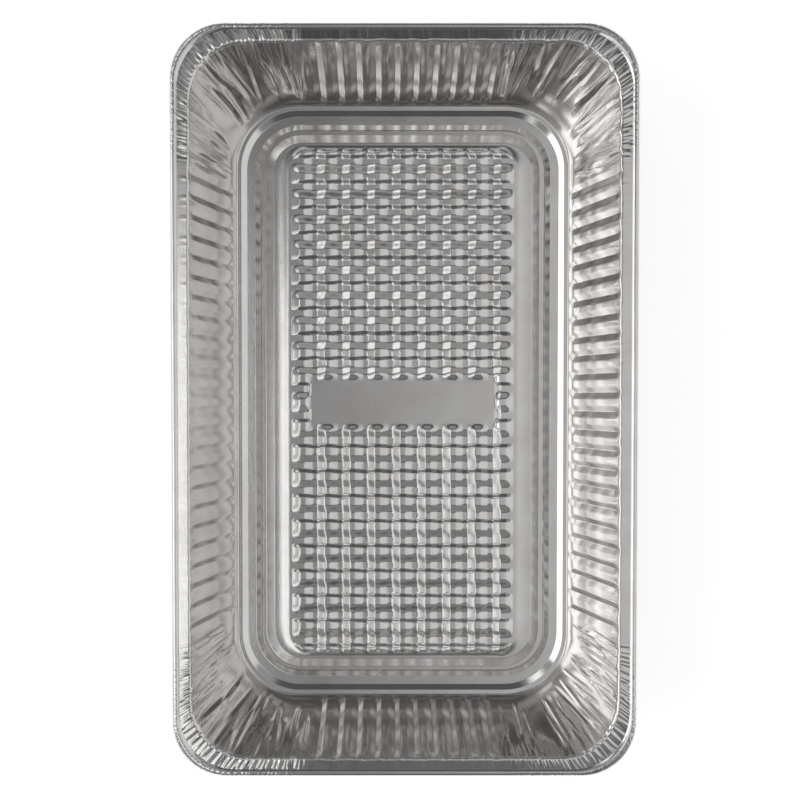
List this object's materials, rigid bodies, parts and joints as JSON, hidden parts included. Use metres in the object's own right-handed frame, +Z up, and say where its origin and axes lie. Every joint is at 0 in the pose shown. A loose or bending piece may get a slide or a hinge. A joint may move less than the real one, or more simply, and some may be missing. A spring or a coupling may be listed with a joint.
{
  "type": "foil roasting pan",
  "caption": "Deep rectangular roasting pan pressed from one sheet of foil, with fluted walls, gathered corners, a rolled rim and a waffle floor.",
  "frame": {"origin": "middle of the foot ring's footprint, on the surface that the pan stands on", "axes": "+Z up out of the pan's mouth, Y along the pan's long sides, X across it"},
  "size_m": [0.3258, 0.5248, 0.0834],
  "materials": {
    "foil": "rolled, semi-bright"
  },
  "bodies": {
    "root": {"pan": "foil"}
  },
  "joints": []
}
